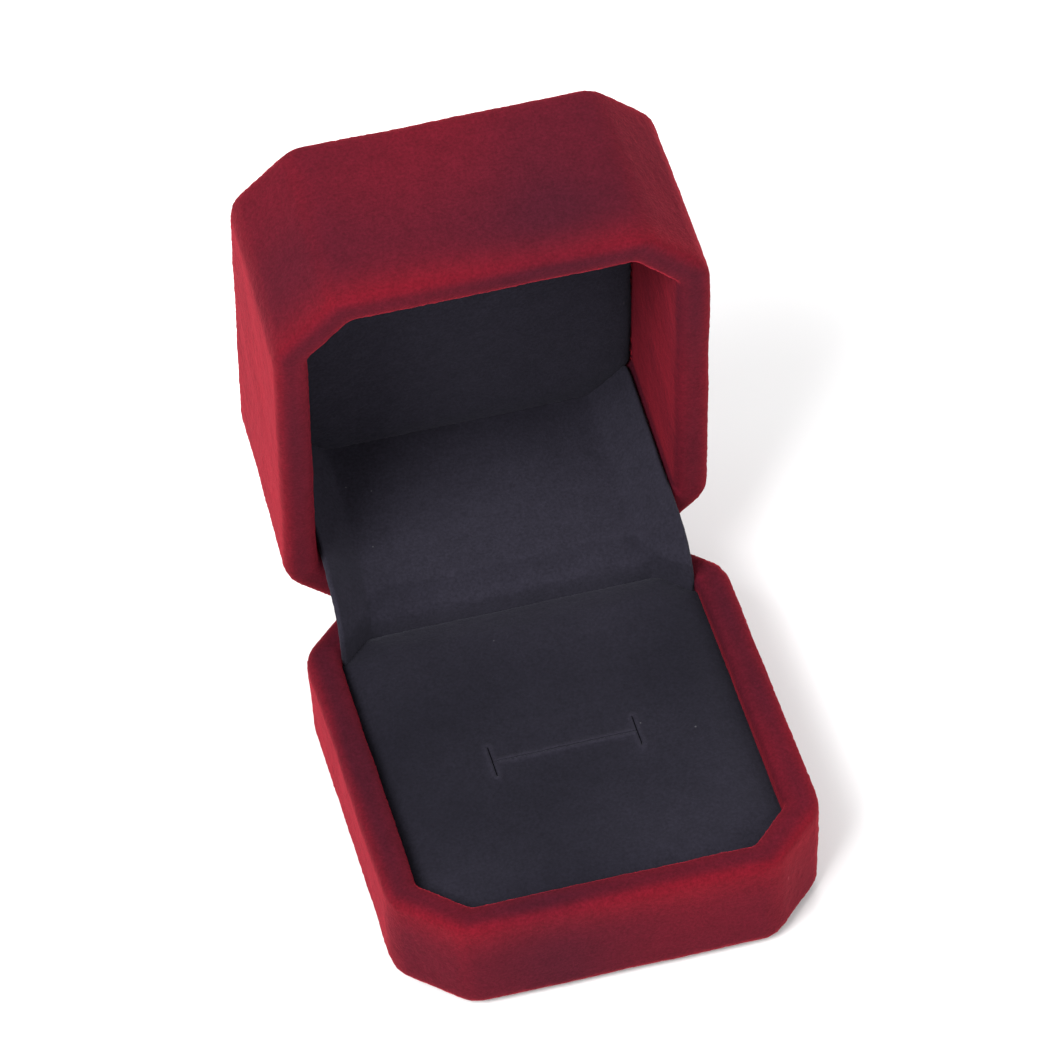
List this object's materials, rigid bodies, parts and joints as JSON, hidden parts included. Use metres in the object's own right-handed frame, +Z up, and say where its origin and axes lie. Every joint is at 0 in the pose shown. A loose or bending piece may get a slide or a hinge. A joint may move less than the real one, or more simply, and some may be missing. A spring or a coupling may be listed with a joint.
{
  "type": "ring box",
  "caption": "Octagonal velvet ring box with a deep lid on a sprung back hinge, shown open, with a slit ring pad and dark lining.",
  "frame": {"origin": "middle of the base's flat underside", "axes": "+X across the box along the hinge, +Y from the front to the hinge, +Z up"},
  "size_m": [0.055, 0.087, 0.0738],
  "materials": {
    "red_velvet": "short-pile deep red velvet",
    "black_velvet": "short-pile blue-black velvet",
    "shell_plastic": "moulded, satin",
    "dark_paper": "flocked paper",
    "card": "grey board",
    "foam": "soft open-cell foam",
    "steel": "nickel-plated sheet",
    "rivet_steel": "plated",
    "spring_steel": "blued spring strip"
  },
  "bodies": {
    "base": {"base_shell": "shell_plastic", "base_velvet": "red_velvet", "base_underside_sheet": "dark_paper", "ring_pad_foam": "foam", "ring_pad_card": "card", "ring_pad_velvet": "black_velvet", "base_hinge_leaf": "steel", "hinge_pin": "steel", "base_hinge_rivets": "rivet_steel"},
    "lid": {"lid_hinge_leaf": "steel", "lid_hinge_rivets": "rivet_steel", "hinge_spring": "spring_steel", "hinge_cover": "black_velvet", "lid_shell": "shell_plastic", "lid_velvet": "red_velvet", "top_panel_board": "card", "top_panel_foam": "foam", "top_panel_velvet": "red_velvet", "lid_lining_board": "card", "lid_lining_velvet": "black_velvet"}
  },
  "joints": [
    {"name": "lid_hinge", "type": "hinge", "parent": "base", "child": "lid", "pos_m": [0, 0.0284, 0.0125], "axis": [1, 0, 0], "range_deg": [0, 82], "deforming": ["hinge_cover", "hinge_spring"]}
  ]
}
